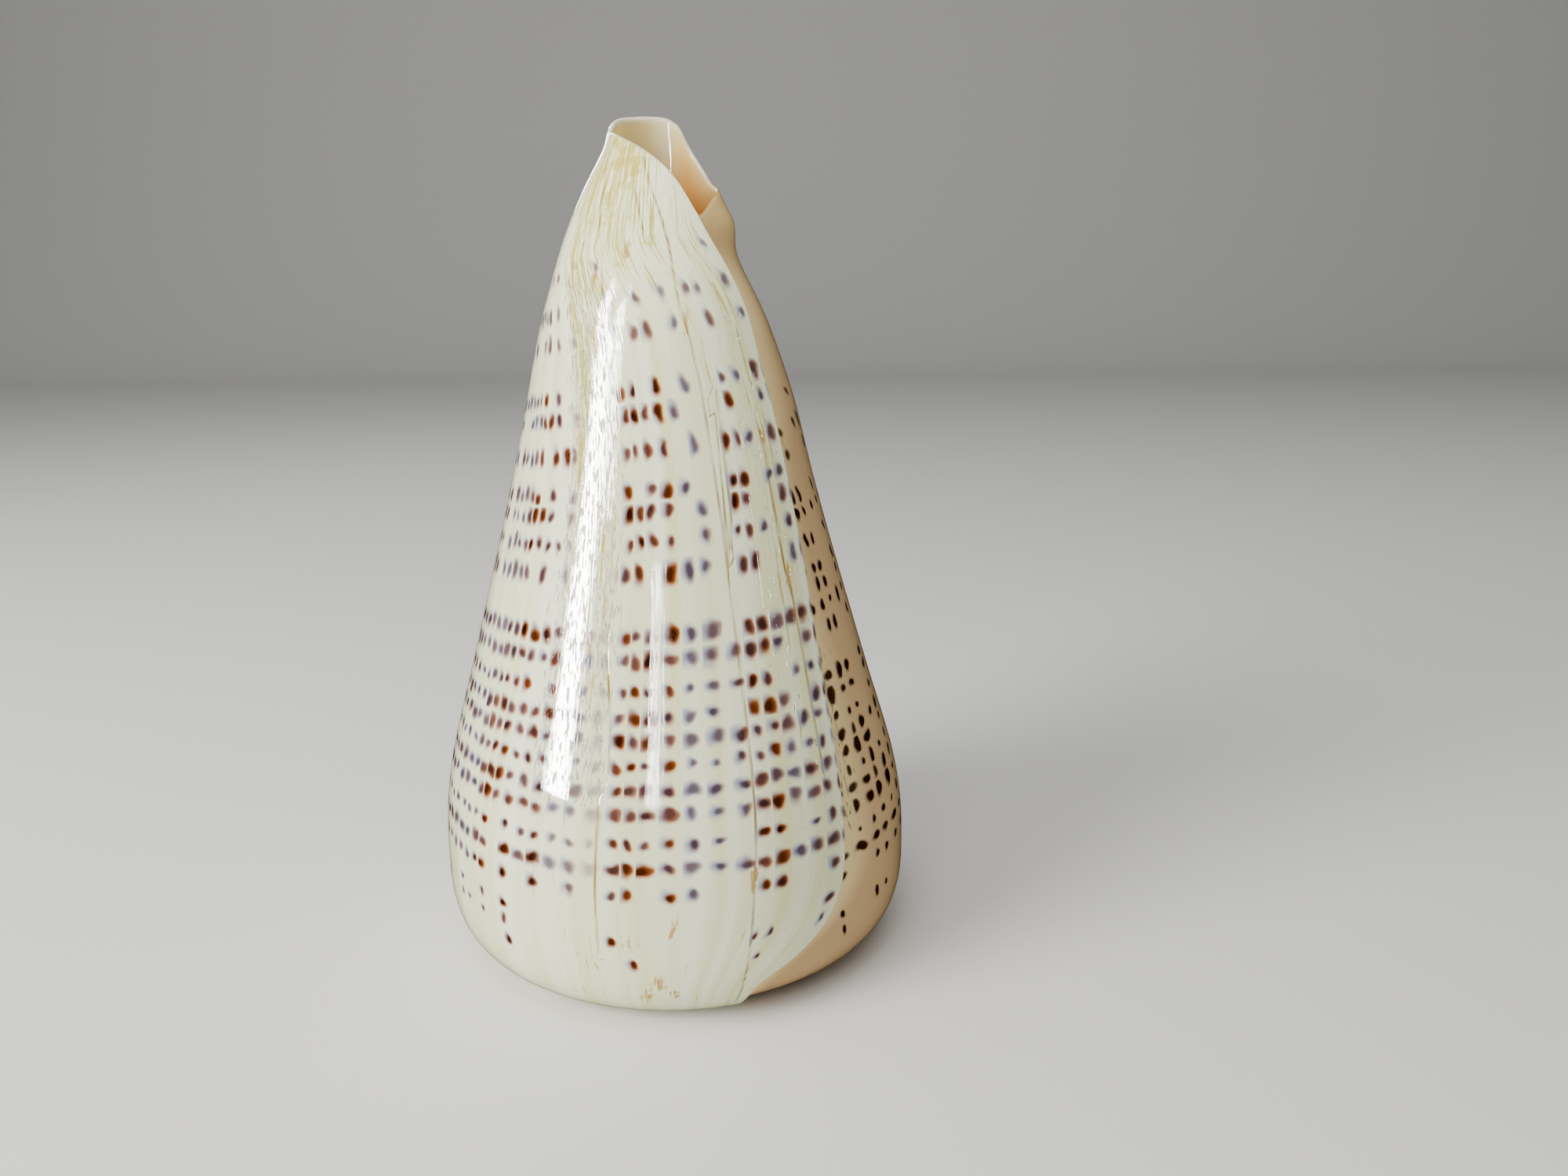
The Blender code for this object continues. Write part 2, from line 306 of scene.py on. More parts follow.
@dataclass
class Skin:
    """Points, faces and painted-on measures that become one mesh."""

    points: list[np.ndarray] = field(default_factory=list)
    backs: list[np.ndarray] = field(default_factory=list)
    insides: list[np.ndarray] = field(default_factory=list)
    depths: list[np.ndarray] = field(default_factory=list)
    faces: list[np.ndarray] = field(default_factory=list)
    count: int = 0

    def put(
        self, places: np.ndarray, back: np.ndarray, inside: np.ndarray | float, depth: np.ndarray | float
    ) -> np.ndarray:
        """Adds points.

        Args:
            places: places, with their three values last.
            back: angle back from the lip of each.
            inside: the sheet's value, or a blend of two.
            depth: how far below the rim each lies.

        Returns:
            The points' numbers, in the shape that they came in.
        """
        shape = places.shape[:-1]
        total = int(np.prod(shape))
        self.points.append(places.reshape(-1, 3))
        self.backs.append(np.broadcast_to(back, shape).reshape(-1))
        self.insides.append(np.broadcast_to(inside, shape).reshape(-1))
        self.depths.append(np.broadcast_to(depth, shape).reshape(-1))
        numbers = np.arange(self.count, self.count + total).reshape(shape)
        self.count += total
        return numbers

    def strip(self, grid: np.ndarray, flip: bool = False) -> None:
        """Covers a grid of points with faces.

        Args:
            grid: point numbers by row and column, negative where there is none.
            flip: turns the faces over.
        """
        corners = [grid[:-1, :-1], grid[:-1, 1:], grid[1:, 1:], grid[1:, :-1]]
        quads = np.stack(corners if flip else corners[::-1], -1).reshape(-1, 4)
        self.faces.append(quads[(quads >= 0).all(1)])

    def fan(self, centre: int, row: Any, flip: bool = False) -> None:
        """Covers the gap between one point and a row of points with triangles.

        Args:
            centre: the one point's number.
            row: the other points' numbers, in order.
            flip: turns the faces over.
        """
        row = np.array(row)[::-1] if flip else np.array(row)
        self.faces.append(np.stack([np.full(len(row) - 1, centre), row[:-1], row[1:], row[1:]], -1))


@dataclass
class Shell:
    """The cone shell: one skin, laid out like the CAD solid but finer."""

    axis: tuple[float, float] = (0.479, 0.499)
    growth: Growth = field(default_factory=Growth)
    near_lip: tuple[float, ...] = (0.0, 0.35, 0.8, 1.4, 2.1, 3.0, 4.0, 5.1, 6.3, 7.6, 9.0)
    columns: int = 270
    hollow_columns: int = 290
    low_betas: int = 10
    high_betas: int = 8
    floor_beta: float = 56.0
    body_rows: int = 78
    crowding: float = 1.3
    edge_swell: float = 0.42
    spire_radii: tuple[float, ...] = (21.57, 20.24, 17.2, 14.4, 11.9, 9.7, 7.8)
    spire_whorls: int = 4
    spire_steps: tuple[float, ...] = (0.0, 0.72, 0.93)
    spire_rise: tuple[float, ...] = (0.0, 0.0, 0.5)
    inner_rise: tuple[float, ...] = (0.12, 0.42, 0.62)
    apex_height: float = 0.35
    spire_depth: float = 90.0
    # The ramp that ends the canal: share of the radius and drop of each ring, and what its colour is read at.
    ramp_rings: Points = ((0.62, 0.8), (0.3, 1.6))
    ramp_drop: float = 1.9
    ramp_back: float = -600.0
    ramp_depth: float = 20.0
    # Where the canal's finish takes over on the outer sheet as it winds in under the lip.
    hidden_from: float = -362.0
    hidden_deg: float = 10.0
    skin: Skin = field(default_factory=Skin)

    def angles(self) -> np.ndarray:
        """Places the columns of the whole winding, crowded at the lip.

        Returns:
            How far each lies behind the lip, as a negative angle.
        """
        rest = self.columns - len(self.near_lip) + 1
        first = self.near_lip[-1]
        turn = list(self.near_lip) + [first + (360.0 - first) * (k + 1) / rest for k in range(rest)]
        turn = turn[: self.columns]
        longer = turn + [360.0 + a for a in turn] + [720.0 + a for a in turn]
        return -np.array(longer[: self.columns + self.hollow_columns + 1])

    def layout(self, grown: np.ndarray) -> tuple[np.ndarray, np.ndarray, np.ndarray]:
        """Angle back and height of every point of the outer sheet.

        Args:
            grown: angle of each column.

        Returns:
            Angles back and heights by column and row, and the top height of each column.
        """
        g = self.growth
        from_lip = -grown % 360.0
        like = 1.0 - smooth(np.minimum(from_lip, 360.0 - from_lip) / g.lip_reach_deg)
        top = between(grown + g.lip_edge[-1][1] * like, g.upper_edge)
        betas = np.radians(np.concatenate([
            np.linspace(0.0, self.floor_beta, self.low_betas, endpoint=False),
            np.linspace(self.floor_beta, 90.0, self.high_betas + 1),
        ]))
        shoulder = g.shoulder_height * (1.0 - np.clip(np.cos(betas), 0.0, 1.0) ** (2.0 / g.shoulder_power))
        low = g.scale(grown)[:, None] * shoulder[None, :]
        share = 1.0 - (1.0 - np.arange(1, self.body_rows + 1) / self.body_rows) ** self.crowding
        body = low[:, -1:] + share[None, :] * (top[:, None] - low[:, -1:])
        heights = np.concatenate([low, body], axis=1)
        at = heights * g.lip_edge[-1][0] / top[:, None]
        stretched = heights + (at - heights) * smooth(heights / top[:, None])
        back = grown[:, None] + between(stretched, g.lip_edge) * like[:, None]
        return back, heights, top

    def build(self) -> bpy.types.Object:
        """Lays out the sheets, the rim, the lip, the spire and the hollow.

        Returns:
            The shell as one object in the frame's own place.
        """
        g, skin = self.growth, self.skin
        grown = self.angles()
        back, height, top = self.layout(grown)
        below = top[:, None] - height
        floor, turn, hollow = self.low_betas, self.columns, self.hollow_columns
        worn = np.where(np.arange(height.shape[1])[None, :] >= floor, g.kept(grown)[:, None], 1.0)
        radius = g.radius(back, height) * worn
        hidden = Sheet.INNER.value * smooth((self.hidden_from - grown) / self.hidden_deg)[:, None]
        outer = skin.put(g.point(back, radius, height), back, hidden, below)
        outer[turn + 1 :, :floor] = -1
        wall = radius - g.thickness(grown[:, None], below)
        part = (slice(0, hollow + 1), slice(floor, None))
        inner = skin.put(g.point(back, wall, height)[part], back[part], Sheet.INNER.value, below[part])
        skin.strip(outer[: turn + 1].T)
        skin.strip(outer[turn:, floor:].T)
        skin.strip(inner.T, flip=True)
        rim_end = self.rim(outer, inner, back, radius, wall, height)
        skin.strip(np.stack([inner[:, 0], outer[turn : turn + hollow + 1, floor]]))
        skin.strip(np.stack([inner[hollow], outer[turn + hollow, floor:]]))
        seam = np.stack([outer[0, 1 : floor + 1], outer[turn, 1 : floor + 1]])
        seam[0, -1] = inner[0, 0]
        skin.strip(seam)
        self.spire(outer, back[:, 0])
        self.core_top(outer[hollow : turn + hollow + 1, -1], [inner[hollow, -1], rim_end])
        return self.mesh()

    def rim(
        self, outer: np.ndarray, inner: np.ndarray, back: np.ndarray, radius: np.ndarray, wall: np.ndarray,
        height: np.ndarray,
    ) -> int:
        """Rounds the free edge of the lip and of the rim with a row of points between the two sheets.

        Args:
            outer: point numbers of the outer sheet.
            inner: point numbers of the inner sheet.
            back: angle back of every point.
            radius: outer radius of every point.
            wall: inner radius of every point.
            height: height of every point.

        Returns:
            The number of the rim's last point.
        """
        g, skin = self.growth, self.skin
        end = inner.shape[0]
        middle = (radius + wall) / 2.0
        swell = (radius - wall) * self.edge_swell
        top = g.point(back[:end, -1], middle[:end, -1], height[:end, -1] + swell[:end, -1])
        rows = skin.put(top, back[:end, -1], Sheet.RIM.value, 0.0)
        skin.strip(np.stack([outer[:end, -1], rows, inner[:, -1]]))
        floor = self.low_betas
        ahead = np.degrees(swell[0, floor:] / middle[0, floor:])
        lip = g.point(back[0, floor:] + ahead, middle[0, floor:], height[0, floor:])
        lip[-1] = top[0]
        column = skin.put(lip, back[0, floor:], Sheet.RIM.value, 0.0)
        skin.strip(np.stack([outer[0, floor:], column, inner[0]]))
        skin.fan(outer[0, floor - 1], [inner[0, 0], column[0], outer[0, floor]])
        return rows[-1]

    def spire(self, outer: np.ndarray, base: np.ndarray) -> None:
        """The flat spire: rows that wind inwards, so that a full turn moves in by one whorl.

        Args:
            outer: point numbers of the outer sheet.
            base: angle back of its lowest point in each column.
        """
        g, skin = self.growth, self.skin
        per, turn = len(self.spire_steps), self.columns
        rows = per * self.spire_whorls
        radii = tuple(enumerate(self.spire_radii))
        turned = (base[0] - base[:turn]) / 360.0
        steps = np.arange(rows + per + 1)
        whorl, step = np.divmod(steps, per)
        start = between(whorl[None, :] + turned[:, None], radii)
        after = between(whorl[None, :] + 1 + turned[:, None], radii)
        share = np.array(self.spire_steps)[step]
        rise = np.where(whorl == 0, np.array(self.spire_rise)[step], np.array(self.inner_rise)[step])
        angle = np.broadcast_to(base[:turn, None], start.shape)
        lift = np.broadcast_to(rise, start.shape)
        places = g.point(angle, start + (after - start) * share, lift)
        grid = skin.put(places, angle, Sheet.OUTER.value, self.spire_depth)
        grid[:, 0] = outer[:turn, 0]
        grid[0, per] = outer[turn, 0]
        closed = np.concatenate([grid[:, : rows + 1], grid[:1, per : rows + per + 1]])
        skin.strip(closed.T[::-1])
        tip = np.array([[0.0, 0.0, self.apex_height]])
        apex = skin.put(tip, np.zeros(1), Sheet.OUTER.value, self.spire_depth)[0]
        skin.fan(apex, closed[:, rows])
        skin.fan(apex, grid[0, rows : rows + per + 1], flip=True)
        skin.fan(outer[turn, 1], [outer[0, 1], outer[0, 0], *grid[0, 1:per], outer[turn, 0]])

    def core_top(self, loop: np.ndarray, rim: list[int]) -> None:
        """Closes the middle of the winding: a ramp deep in the canal, with a step where its turn is full.

        Args:
            loop: the point numbers of one turn of the winding's upper edge.
            rim: the last points of the inner sheet and of the rim, beside the step.
        """
        skin = self.skin
        places = np.concatenate(skin.points)[loop]
        rings = []
        for share, drop in (*self.ramp_rings, (0.0, self.ramp_drop)):
            ring = places * np.array([share, share, 1.0]) - np.array([0.0, 0.0, drop])
            ring = ring if share > 0.0 else ring[:-1]
            back = np.full(len(ring), self.ramp_back)
            rings.append(skin.put(ring, back, Sheet.INNER.value, self.ramp_depth))
        wide, narrow, axis = rings
        skin.strip(np.stack([loop, wide, narrow, np.append(axis, axis[-1])]))
        skin.strip(np.stack([loop, wide, narrow])[:, [0, -1]], flip=True)
        skin.fan(narrow[-1], [narrow[0], *axis], flip=True)
        skin.fan(loop[-1], [*rim, loop[0]], flip=True)

    def mesh(self) -> bpy.types.Object:
        """Turns the skin into an object, with its growth measures as attributes.

        Returns:
            The new object.
        """
        skin, g = self.skin, self.growth
        points = np.concatenate(skin.points)
        back = np.concatenate(skin.backs)
        shifted = (points + np.array([*self.axis, 0.0])) * MM
        faces = np.concatenate(skin.faces)
        data = bpy.data.meshes.new("polished_shell")
        data.from_pydata(shifted.tolist(), [], [list(dict.fromkeys(f)) for f in faces.tolist()])
        data.shade_smooth()
        radius = np.hypot(points[:, 0], points[:, 1])
        marks = Marks().measure(g, back, points[:, 2], radius)
        marks["inside"] = np.concatenate(skin.insides)
        marks["depth"] = np.concatenate(skin.depths)
        for name, values in marks.items():
            layer = data.attributes.new(name, "FLOAT", "POINT")
            layer.data.foreach_set("value", values.astype(np.float32))
        data.update()
        shell = bpy.data.objects.new("polished_shell", data)
        bpy.context.scene.collection.objects.link(shell)
        return shell

    def dress(self, shell: bpy.types.Object) -> None:
        """Gives the shell its finish and its place in the frame.

        Args:
            shell: the shell's object.
        """
        shell.data.materials.append(PolishedShell().material())
        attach(shell, "root")
        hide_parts("cone_shell")


@dataclass(frozen=True)
class Row:
    """One row of dots round the shell: height at the lip, dot size, and how many are there or joined up."""

    height: float
    wide: float
    tall: float
    chance: float
    joined: float = 0.0


@dataclass(frozen=True)
class Blot:
    """One stain: height at the lip, azimuth, width and height."""

    reach: float
    azimuth: float
    wide: float
    tall: float


@dataclass(frozen=True)
class Marks:
    """Where the dots, creases and rows lie, in millimetres up and degrees back from the lip."""

    rows: tuple[Row, ...] = (
        Row(7.0, 0.5, 0.5, 0.0), Row(10.0, 1.0, 1.4, 0.16), Row(12.9, 1.0, 1.5, 0.3),
        Row(15.0, 1.1, 1.3, 0.12), Row(18.9, 1.4, 1.6, 0.66), Row(21.9, 2.0, 1.7, 1.0, 0.45),
        Row(24.9, 1.3, 1.3, 0.96),
        Row(28.25, 1.8, 1.7, 1.0, 0.4), Row(30.9, 1.9, 1.75, 1.0, 0.45), Row(33.7, 1.35, 1.45, 0.97),
        Row(36.5, 1.7, 1.8, 1.0, 0.2), Row(39.0, 1.7, 1.85, 1.0, 0.2), Row(41.9, 1.3, 1.5, 0.95),
        Row(45.35, 1.65, 2.05, 1.0, 0.2), Row(48.0, 1.6, 2.0, 1.0, 0.2), Row(51.4, 0.5, 0.5, 0.0),
        Row(54.9, 1.35, 2.7, 0.76), Row(58.4, 1.05, 1.8, 0.68), Row(61.7, 1.2, 2.0, 0.72),
        Row(64.1, 1.2, 2.0, 0.62), Row(68.6, 1.1, 2.3, 0.7), Row(72.9, 1.1, 2.1, 0.64),
        Row(75.5, 1.05, 2.1, 0.56), Row(78.9, 0.5, 0.5, 0.0), Row(82.2, 1.0, 2.2, 0.5),
        Row(85.9, 1.05, 2.2, 0.42), Row(90.7, 0.85, 1.7, 0.24), Row(94.0, 0.5, 0.5, 0.0),
    )
    columns: tuple[float, ...] = (
        1.2, -3.0, -7.1, -11.7, -15.9, -19.8, -23.6, -29.6, -34.9, -39.9, -45.2, -48.6, -51.6, -56.7, -61.7,
        -66.1, -70.7, -74.8, -79.4, -83.5, -87.1, -90.2, -93.7, -97.2, -101.2, -105.7, -109.7,
    )
    # Width in degrees of the callus that spreads from the aperture, by height.
    glaze_width: Points = (
        (0.0, 3.0), (20.0, 14.0), (40.0, 16.0), (50.0, 14.0), (60.0, 16.0), (70.0, 24.0), (76.0, 32.0),
        (85.0, 50.0),
    )
    far_columns: tuple[float, ...] = (-305.5, -313.1, -322.3, -330.0, -337.5, -342.5, -349.5, -357.0)
    # The unseen columns between the two groups: first and last step before scaling, and how many.
    unseen_steps: tuple[float, float, int] = (4.2, 7.6, 33)
    deep_step: float = 7.0
    deep_columns: int = 60
    crease_reach: float = 50.0
    # Creases and stains end here: further back the older whorl shows.
    front_back: float = -200.0
    # Strong growth lines, as height at the lip and azimuth.
    creases: tuple[Points, ...] = (
        (
            (101.7, -13.2), (99.4, -10.0), (94.4, -2.7), (91.1, 0.5), (82.9, 4.8), (80.5, 7.4), (69.2, 11.9),
            (56.7, 14.0), (30.5, 15.5), (12.2, 13.4), (3.0, 11.0),
        ),
        ((98.3, -16.7), (95.3, -13.1), (93.2, -11.3)),
        ((104.3, -45.1), (99.9, -38.3), (97.2, -37.0), (91.6, -31.3), (84.8, -26.5)),
        ((74.0, 15.6), (67.5, 16.4), (62.0, 16.6), (56.0, 16.0)),
        ((48.0, -18.4), (45.3, -18.0), (39.0, -16.6), (33.0, -16.4)),
        ((30.0, -18.3), (19.0, -18.7), (12.0, -18.5)),
        ((70.0, 29.2), (67.0, 30.3), (54.4, 31.2), (48.6, 32.7), (30.0, 33.0)),
    )
    blots: tuple[Blot, ...] = (
        Blot(13.1, -12.2, 1.7, 1.1), Blot(14.8, -2.6, 0.6, 2.2), Blot(7.4, -6.1, 1.4, 1.6),
        Blot(5.4, -8.6, 1.1, 1.3), Blot(5.8, -2.6, 1.0, 1.0), Blot(68.3, 30.2, 0.8, 1.8),
        Blot(91.5, -18.5, 0.8, 2.0), Blot(82.0, 6.0, 0.5, 2.6), Blot(20.0, 14.4, 0.5, 2.6),
        Blot(52.6, 31.8, 0.7, 2.4), Blot(89.5, -33.5, 0.6, 3.0), Blot(10.5, -19.0, 0.6, 2.0),
    )

    def all_columns(self) -> np.ndarray:
        """Adds the unseen columns, which widen from one seen group to the next and run on into the canal.

        Returns:
            Every column's angle back along the growth lines.
        """
        gap = self.columns[-1] - self.far_columns[0]
        steps = np.linspace(*self.unseen_steps)
        steps *= gap / steps.sum()
        middle = self.columns[-1] - np.cumsum(steps)[:-1]
        deep = self.far_columns[-1] - self.deep_step * np.arange(1, self.deep_columns)
        return np.concatenate([self.columns, middle, self.far_columns, deep])

    def measure(self, growth: Growth, back: np.ndarray, height: np.ndarray, radius: np.ndarray) -> dict:
        """Works out what the material reads at each point.

        Args:
            growth: the shell's winding.
            back: angle back from the lip.
            height: height over the spire.
            radius: distance from the axis.

        Returns:
            Named measures, one value a point.
        """
        at_lip = height / growth.scale(back)
        older = smooth((-back - 150.0) / 150.0)
        reach = at_lip + 0.0005 * at_lip**2 * older
        # Low on the shoulder, away from the lip, the growth lines run straight down.
        straight = smooth((-back - 10.0) / 40.0) * smooth((22.0 - at_lip) / 14.0)
        grown = back - between(at_lip, growth.lip_edge) * (1.0 - straight)
        centres = self.all_columns()
        order = np.argsort(centres)
        number = np.arange(len(centres), dtype=float)
        column = np.interp(grown, centres[order], number[order])
        spacing = np.interp(grown, centres[order], np.abs(np.gradient(centres))[order])
        rows = np.array([r.height for r in self.rows])
        row = np.interp(reach, rows, np.arange(len(rows), dtype=float))
        azimuth = growth.lip_azimuth + back
        crease = np.full(len(back), self.crease_reach)
        for line in self.creases:
            low, high = min(p[0] for p in line), max(p[0] for p in line)
            away = np.radians(azimuth - between(at_lip, line)) * radius
            past = np.maximum(np.maximum(low - at_lip, at_lip - high), 0.0)
            away = np.where(past > 0.0, np.sign(away) * np.hypot(away, past), away)
            crease = np.where((np.abs(away) < np.abs(crease)) & (back > self.front_back), away, crease)
        blot = np.zeros(len(back))
        for stain in self.blots:
            across = np.radians(azimuth - stain.azimuth) * radius / stain.wide
            up = (at_lip - stain.reach) / stain.tall
            blot = np.maximum(blot, np.where(back > self.front_back, 1.0 - np.hypot(across, up), 0.0))
        from_edge = back + 360.0 - between(height, growth.lip_edge)
        glaze = 1.0 - smooth(from_edge / between(height, self.glaze_width) - 0.35)
        return {
            "glaze": np.where(back < -180.0, glaze, 0.0),
            "reach": reach,
            "grown": grown,
            "older": smooth((-back - 250.0) / 50.0),
            "column": column,
            "column_mm": np.radians(spacing) * radius,
            "row": row,
            "crease": np.clip(crease, -self.crease_reach, self.crease_reach),
            "blot": blot,
        }


@dataclass(frozen=True)
class Measures:
    """The shell's own measures, as its material reads them at a point."""

    inside: Socket
    depth: Socket
    grown: Socket
    reach: Socket
    older: Socket
    glaze: Socket
    column: Socket
    column_mm: Socket
    row: Socket
    crease: Socket
    blot: Socket

    @classmethod
    def read(cls, t: Tree) -> "Measures":
        """Adds a node for each measure."""
        return cls(**{f.name: t.add("Attribute", out="Fac", attribute_name=f.name) for f in fields(cls)})


@dataclass(frozen=True)
class Cell:
    """The place for one dot, where a row of dots crosses a column."""

    place: Socket
    number: Socket
    column: Socket
    centre: Socket
    wide: Socket
    tall: Socket
    share: Socket
    joined: Socket
    shift: Socket
    chance: Socket
    size_luck: Socket
    form_luck: Socket
    heart_luck: Socket
    warm_luck: Socket


@dataclass(frozen=True)
class PolishedShell:
    """Polished shell: aragonite with a soft gloss, cream over tan, with dots half sunk in it.

    The dots look bluish where clear shell covers them and red-brown where they reach the surface.
    """

    cream: str = "#EAEDCE"
    ivory: str = "#DEDCA8"
    beige: str = "#D2B080"
    callus: str = "#F7DDA0"
    front_end: str = "#F8F4CC"
    blue_grey: str = "#8592AE"
    plum: str = "#8D6660"
    rust: str = "#823C08"
    glow: str = "#DD9442"
    umber: str = "#240A02"
    sunk: str = "#35190A"
    slate: str = "#473B45"
    stain: str = "#B3A41C"
    etched: str = "#8F8148"
    amber: str = "#B0820E"
    crease: str = "#8A6A0C"
    canal_tan: str = "#FDE29C"
    canal_orange: str = "#F0AE4E"
    canal_pale: str = "#ECDFBC"
    rim: str = "#F2E8CC"
    worn_rim: str = "#F0CC88"
    notch_rim: str = "#D29A4C"
    ior: float = 1.6
    roughness: float = 0.03
    pit_roughness: float = 0.55
    clear_mm: float = 1.4
    crease_mm: float = 0.26
    patch_mm: float = 2.6
    wobble_mm: float = 1.8
    # A ramp holds shares of these: the number of rows, the largest dot and the tallest row in mm.
    ramp_rows: float = 32.0
    ramp_dot: float = 4.0
    ramp_height: float = 128.0

    def material(self) -> bpy.types.Material:
        """Builds the finish.

        Returns:
            The material.
        """
        t = Tree("shell, polished aragonite")
        m = Measures.read(t)
        outside, bump, rough = self.outside(t, m)
        # The rim is pale, except where the whorl's old edge runs out into the canal: there it is painted a
        # darker tan, painted shade that stands for the thin dark line at the notch and blends the lit rim into
        # the canal.
        old_edge = self.curve(t, m.grown, ((-290.0, 1.0), (-262.0, 1.0), (-244.0, 0.0)))
        rim = t.add("MixRGB", old_edge, linear(self.rim), linear(self.notch_rim))
        to_rim = t.add("MapRange", m.inside, Sheet.OUTER.value, Sheet.RIM.value)
        to_wall = t.add("MapRange", m.inside, Sheet.RIM.value, Sheet.INNER.value)
        colour = t.add("MixRGB", to_rim, outside, rim)
        colour = t.add("MixRGB", to_wall, colour, self.canal(t, m))
        t.feed(t.shader, {
            "Base Color": colour, "IOR": self.ior, "Roughness": rough,
            # The growth lines' relief stays off the smooth inner wall.
            "Normal": t.add("MixRGB", to_rim, bump, t.add("NewGeometry", out="Normal")),
            "Subsurface Weight": t.add("MapRange", m.inside, 0.0, 1.0, 0.15, 0.5),
            "Subsurface Scale": self.clear_mm * MM, "Subsurface Radius": (1.0, 0.7, 0.4),
        })
        return t.material

    def stops(self, ramp: Any, values: list[tuple[float, tuple[float, ...]]], steps: bool = False) -> None:
        """Fills a ramp node with its stops.

        Args:
            ramp: the node.
            values: each stop's place and colour.
            steps: holds each colour up to the next stop.
        """
        ramp.color_ramp.interpolation = "CONSTANT" if steps else "LINEAR"
        while len(ramp.color_ramp.elements) < len(values):
            ramp.color_ramp.elements.new(1.0)
        for element, (at, colour) in zip(ramp.color_ramp.elements, values):
            element.position, element.color = at, colour

    def curve(self, t: Tree, measure: Socket, values: Points) -> Socket:
        """A share that changes with a measure of the shell.

        Args:
            t: the material's tree.
            measure: angle back along the growth lines, height at the lip, or depth below the rim.
            values: pairs of the measure and the share, in either order.

        Returns:
            The share.
        """
        ordered = sorted(values)
        low, high = ordered[0][0], ordered[-1][0]
        ramp = t.add("ValToRGB", t.add("MapRange", measure, low, high), out=None)
        self.stops(ramp, [((x - low) / (high - low), (v, v, v, 1.0)) for x, v in ordered])
        return ramp.outputs[0]

    def patch(self, t: Tree, first: tuple[Socket, Points], second: tuple[Socket, Points]) -> Socket:
        """A share that falls off along two measures.

        Args:
            t: the material's tree.
            first: a measure and its curve.
            second: the other measure and its curve.

        Returns:
            The two shares' product.
        """
        return t.add("Math", self.curve(t, *first), self.curve(t, *second), operation="MULTIPLY")

    def grain(
        self, t: Tree, m: Measures, stretch: float, scale: float, detail: float, rough: float = 0.5
    ) -> Socket:
        """Noise that is fine round the shell and drawn out along the growth lines.

        Args:
            t: the material's tree.
            m: the shell's measures.
            stretch: how much a millimetre up counts against a degree round.
            scale: how many noise steps go to a degree.
            detail: octaves of the noise.
            rough: how strong the finer ones are.

        Returns:
            The noise.
        """
        along = t.add("Math", m.reach, stretch, operation="MULTIPLY")
        return t.add("TexNoise", named={
            "Vector": t.add("CombineXYZ", m.grown, along), "Scale": scale, "Detail": detail, "Roughness": rough,
        })

    def canal(self, t: Tree, m: Measures) -> Socket:
        """Inside of the aperture and canal: tan, orange deep down, with a pale painted reflection of the window
        on the far wall.

        Args:
            t: the material's tree.
            m: the shell's measures.

        Returns:
            Its colour.
        """
        ramp = t.add("ValToRGB", t.add("MapRange", m.depth, 0.0, 40.0), out=None)
        self.stops(ramp, [(at, linear(colour)) for at, colour in (
            (0.0, self.rim), (0.02, self.canal_tan), (0.08, self.canal_tan), (0.26, self.canal_orange),
            (0.7, self.canal_orange), (1.0, self.canal_tan),
        )])
        # Painted reflection: a pale zone where the window's gloss would show on the concave far wall.
        pale = self.patch(
            t, (m.grown, ((-212.0, 0.0), (-200.0, 0.4), (-190.0, 0.8), (-182.0, 0.35), (-172.0, 0.0))),
            (m.depth, ((0.0, 0.3), (1.0, 1.0), (4.0, 0.8), (9.0, 0.0))),
        )
        deep = self.patch(
            t, (m.grown, ((-320.0, 0.2), (-262.0, 0.65), (-222.0, 0.75), (-202.0, 0.0))),
            (m.depth, ((0.0, 0.25), (3.5, 1.0))),
        )
        colour = t.add("MixRGB", pale, ramp.outputs[0], linear(self.canal_pale))
        return t.add("MixRGB", deep, colour, linear(self.canal_orange))

    def outside(self, t: Tree, m: Measures) -> tuple[Socket, Socket, Socket]:
        """The outer surface: cream, streaked along the growth lines, with its dots.

        Args:
            t: the material's tree.
            m: the shell's measures.

        Returns:
            Its colour, its normal and its roughness.
        """
        # Growth lines are about 0.4 mm apart; the etched ticks are about 0.3 by 1.5 mm.
        fine = self.grain(t, m, 0.05, 1.3, 3.0, 0.6)
        broad = self.grain(t, m, 0.05, 0.16, 2.0)
        vein = self.grain(t, m, 0.13, 0.95, 4.0, 0.62)
        tick = self.grain(t, m, 0.4, 1.3, 3.0, 0.6)
        pits = self.pits(t, m, tick)
        line = t.add("Math", t.add("Math", m.crease, operation="ABSOLUTE"), self.crease_mm, operation="DIVIDE")
        line = t.add("MapRange", line, 0.2, 1.0, 1.0, 0.0, interpolation_type="SMOOTHSTEP")
        colour = self.stains(t, m, self.ground(t, m, broad), vein)
        colour = t.add("MixRGB", t.add("Math", pits, 0.9, operation="MULTIPLY"), colour, linear(self.etched))
        spread = t.add("Math", tick, 2.4, m.blot, operation="MULTIPLY_ADD")
        spread = t.add("MapRange", spread, 1.55, 1.8, 0.0, 0.8)
        blot = t.add("Math", spread, t.add("MapRange", m.blot, 0.0, 0.1), operation="MULTIPLY")
        colour = t.add("MixRGB", blot, colour, linear(self.amber))
        drawn = t.add("Math", line, t.add("MapRange", vein, 0.4, 0.6, 0.12, 0.9), operation="MULTIPLY")
        colour = self.dots(t, m, t.add("MixRGB", drawn, colour, linear(self.crease)))
        relief = self.curve(t, m.grown, (
            (0.0, 0.04), (-18.0, 0.035), (-26.0, 0.012), (-50.0, 0.012), (-56.0, 0.016), (-70.0, 0.01),
        ))
        height = t.add("Math", fine, relief, operation="MULTIPLY")
        for pattern, rise in ((broad, 0.04), (pits, -0.25), (line, -0.02)):
            height = t.add("Math", pattern, rise, height, operation="MULTIPLY_ADD")
        bump = t.add("Bump", named={"Height": height, "Strength": 1.0, "Distance": 1.0 * MM})
